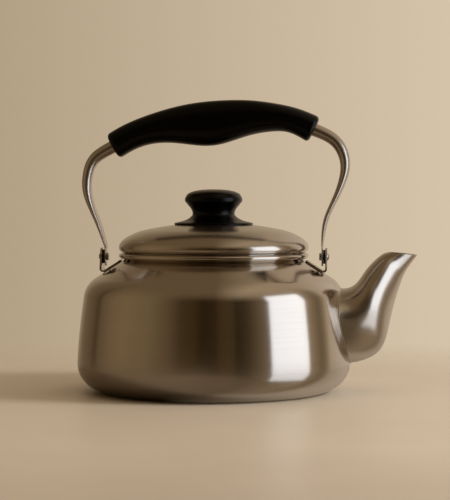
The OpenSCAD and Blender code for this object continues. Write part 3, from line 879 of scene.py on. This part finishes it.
def grip_end(at_end, r=GRIP_EDGE_R):
    """Rings that round the grip's end over, then run into the socket of the tube."""
    end = GRIP_STEPS if at_end else 0
    step = -1 if at_end else 1
    near = (grip_top(end) + grip_bottom(end)) / 2
    far = (grip_top(end + step * 0.2) + grip_bottom(end + step * 0.2)) / 2
    reach = float(np.hypot(*(far - near)))
    per_mm = 0.2 / reach
    direction = (far - near) / reach
    face = grip_ring(end, r)
    up = grip_top(end) - grip_bottom(end)
    up = up / np.hypot(*up)
    hole = []
    deep = []
    for deg in GRIP_ANGLES:
        a = -rad(deg)
        p = near + SOCKET_R * math.cos(a) * up
        q = p + SOCKET_SHOWN * direction
        hole.append((float(p[0]), SOCKET_R * math.sin(a), float(p[1])))
        deep.append((float(q[0]), SOCKET_R * math.sin(a), float(q[1])))
    rings = [deep, hole, face]
    for j in range(1, 6):
        b = rad(90 * j / 5)
        rings.append(grip_ring(end + step * per_mm * r * (1 - math.cos(b)), r * (1 - math.sin(b))))
    return rings, r * per_mm


start_rings, start_s = grip_end(False)
end_rings, end_s = grip_end(True)
MIDDLE_STEPS = 120
middle = [grip_ring(start_s + (GRIP_STEPS - end_s - start_s) * i / MIDDLE_STEPS)
          for i in range(1, MIDDLE_STEPS)]
grip = loft("handle_grip", start_rings + middle + list(reversed(end_rings)), sharp=50)
piece(grip, "handle", "black_moulding", black, "grip")

# ---------------------------------------------------------------- CAD nodes that stay
for node, mat in (("lid_skirt", satin), ("knob_insert", brass), ("knob_washer", polished),
                  ("knob_screw", polished), ("grip_screw_left", polished), ("grip_screw_right", polished)):
    for material_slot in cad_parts[node].material_slots:
        material_slot.material = mat

# ---------------------------------------------------------------- floor
floor = revolve("floor", [(0.0, 0.0)] + [(30 * 1.25 ** i, 0.0) for i in range(17)], 96)
floor.location.z = -0.0002
FLOOR_DARK, FLOOR_LIGHT = (0.78, 0.695, 0.60), (0.82, 0.735, 0.635)
FRONT_SHADE = (0.86, 0.85, 0.84)
GLOSSY_SHADE = (0.45, 0.43, 0.40)
mat, n, bsdf = new_material("floor_paper")
coord = n.add("ShaderNodeTexCoord")
paper = n.mix(n.spread(n.noise(coord.outputs["Object"], 9.0, 4.0, 0.6), 0.0, 1.0), FLOOR_DARK, FLOOR_LIGHT)
ground = n.add("ShaderNodeSeparateXYZ")
n.link(coord.outputs["Object"], ground.inputs[0])
# The floor's colour is darker towards the front: painted shade where the light falls off.
shaded = n.mix(n.spread(ground.outputs[1], 1.0, 0.0, -0.47, -0.30), paper, FRONT_SHADE, "MULTIPLY")
# In the kettle's own reflections the floor's colour is darkened, painted shade for the floor out of the light,
# and towards the light it mirrors the room
glossy = n.add("ShaderNodeLightPath").outputs["Is Glossy Ray"]
n.link(n.mix(glossy, shaded, GLOSSY_SHADE, "MULTIPLY"), bsdf.inputs["Base Color"])
bsdf.inputs["Roughness"].default_value = 0.42
bsdf.inputs["Specular IOR Level"].default_value = 0.4
floor.data.materials.append(mat)
dist = n.add("ShaderNodeVectorMath", operation="LENGTH")
centre = n.add("ShaderNodeVectorMath", operation="ADD")
n.link(coord.outputs["Object"], centre.inputs[0])
centre.inputs[1].default_value = (0.0, 0.17, 0.0)
n.link(centre.outputs[0], dist.inputs[0])
# The floor fades into the backdrop with distance from a point behind the kettle
fade = n.spread(dist.outputs["Value"], 1.0, 0.0, 0.32, 0.62)
mirrored = n.math("MULTIPLY", glossy, n.spread(ground.outputs[0], 0.0, 0.6, -0.03, 0.07))
n.link(n.math("MULTIPLY", fade, n.math("SUBTRACT", 1.0, mirrored)), bsdf.inputs["Alpha"])

# ---------------------------------------------------------------- world and lights
# The camera stands this far round towards the spout, in degrees; the lights keep their place round it
YAW = 4.0
world = bpy.data.worlds.new("studio")
scene.world = world
world.use_nodes = True
n = Nodes(world.node_tree)
coord = n.add("ShaderNodeTexCoord")
split = n.add("ShaderNodeSeparateXYZ")
n.link(coord.outputs["Generated"], split.inputs[0])
dx, dy, dz = split.outputs
azimuth = n.math("ARCTAN2", dx, n.math("MULTIPLY", dy, -1.0))
turn = n.math("FRACT", n.math("ADD", n.math("DIVIDE", azimuth, 2 * math.pi), 0.5 - YAW / 360))
across = n.blend(dx, dy, (math.cos(rad(YAW)), math.sin(rad(YAW))))
ramp = n.add("ShaderNodeValToRGB")
ramp.color_ramp.interpolation = "LINEAR"
n.link(turn, ramp.inputs["Fac"])
# Brightness of the room round the kettle, by degrees right of the camera: a soft warm wall on the left, a
# dark room with two darker gaps behind the camera, a light wall on the right and a pale sweep at the back
STUDIO = ((-180, (0.44, 0.34, 0.23)), (-160, (0.31, 0.235, 0.15)), (-146, (0.195, 0.14, 0.085)),
          (-126, (0.15, 0.10, 0.052)), (-119, (0.088, 0.058, 0.028)), (-113, (0.17, 0.118, 0.068)),
          (-98, (0.242, 0.168, 0.095)), (-82, (0.275, 0.192, 0.104)), (-58, (0.235, 0.167, 0.09)),
          (-40, (0.155, 0.104, 0.056)), (-28, (0.073, 0.047, 0.019)), (-13.5, (0.052, 0.03, 0.010)),
          (-11, (0.026, 0.015, 0.004)), (2.5, (0.036, 0.022, 0.007)), (5, (0.072, 0.039, 0.016)),
          (17, (0.072, 0.046, 0.019)), (19, (0.026, 0.019, 0.006)), (29, (0.06, 0.04, 0.018)),
          (44, (0.19, 0.135, 0.08)), (88, (0.42, 0.31, 0.20)), (103, (0.205, 0.145, 0.085)),
          (109, (0.29, 0.22, 0.14)), (116, (0.62, 0.50, 0.37)), (131, (0.70, 0.585, 0.49)),
          (145, (0.72, 0.60, 0.49)), (180, (0.44, 0.34, 0.23)))
stops = ramp.color_ramp.elements
stops[0].position, stops[0].color = 0.0, (*STUDIO[0][1], 1)
stops[1].position, stops[1].color = 1.0, (*STUDIO[-1][1], 1)
for deg, colour in STUDIO[1:-1]:
    stop = stops.new(deg / 360 + 0.5)
    stop.color = (*colour, 1)
overhead = n.add("ShaderNodeMapRange")
n.link(dz, overhead.inputs["Value"])
for name, v in (("From Min", 0.28), ("From Max", 0.9), ("To Min", 0.0), ("To Max", 1.0)):
    overhead.inputs[name].default_value = v
overhead.interpolation_type = "SMOOTHSTEP"
CEILING = ((0.19, 0.13, 0.072), (0.50, 0.39, 0.27))
BACKDROP = ((0.42, 0.325, 0.215), (0.695, 0.572, 0.42))
ceiling = n.mix(n.spread(across, 0.0, 1.0, 0.02, 0.34), *CEILING)
room = n.mix(overhead.outputs["Result"], ramp.outputs["Color"], ceiling)
# The backdrop the camera sees is painted lighter towards the right, where the light falls on it.
backdrop = n.mix(n.spread(across, 0.0, 1.0, -0.16, 0.16), *BACKDROP)
seen = n.mix(n.add("ShaderNodeLightPath").outputs["Is Camera Ray"], room, backdrop)
bg = n.add("ShaderNodeBackground")
n.link(seen, bg.inputs["Color"])
out = n.add("ShaderNodeOutputWorld")
n.link(bg.outputs[0], out.inputs[0])


def area(name, azimuth_deg, elevation_deg, distance, size_x, size_y, radiance, aim=(0, 0, 0.08)):
    """Softbox seen at an azimuth right of the camera; radiance is what it looks like in a mirror."""
    light = bpy.data.lights.new(name, "AREA")
    light.shape = "RECTANGLE"
    light.size, light.size_y = size_x, size_y
    light.energy = radiance[0] * math.pi * size_x * size_y
    light.color = (1.0, radiance[1] / radiance[0], radiance[2] / radiance[0])
    ob = bpy.data.objects.new(name, light)
    scene.collection.objects.link(ob)
    a, e = rad(azimuth_deg + YAW), rad(elevation_deg)
    aim = Vector(aim)
    away = Vector((math.sin(a) * math.cos(e), -math.cos(a) * math.cos(e), math.sin(e)))
    ob.location = aim + distance * away
    ob.rotation_euler = (ob.location - aim).to_track_quat("Z", "Y").to_euler()
    return ob


area("softbox", 65.75, 1, 1.2, 0.79, 1.5, (1.40, 1.60, 1.90))
key = area("key", 75, 28, 1.6, 0.5, 0.5, (17.5, 16.2, 14.0))
key.visible_glossy = False
fill = area("fill", 0, 88, 1.4, 1.6, 1.6, (0.42, 0.345, 0.24))
fill.visible_glossy = False

# ---------------------------------------------------------------- camera
CAMERA_DISTANCE = 1.3
CAMERA_HEIGHT = 0.1414
CAMERA_SIDE = 0.00833
PITCH = 1.681
LENS = 127.36
cam_data = bpy.data.cameras.new("camera")
cam_data.lens = LENS
cam_data.sensor_width = 36.0
cam_data.clip_start = 0.01
cam = bpy.data.objects.new("camera", cam_data)
scene.collection.objects.link(cam)
cam.location = (CAMERA_SIDE * math.cos(rad(YAW)) + CAMERA_DISTANCE * math.sin(rad(YAW)),
                CAMERA_SIDE * math.sin(rad(YAW)) - CAMERA_DISTANCE * math.cos(rad(YAW)), CAMERA_HEIGHT)
cam.rotation_euler = (rad(90 - PITCH), 0.0, rad(YAW))
scene.camera = cam
scene.view_settings.view_transform = "Standard"
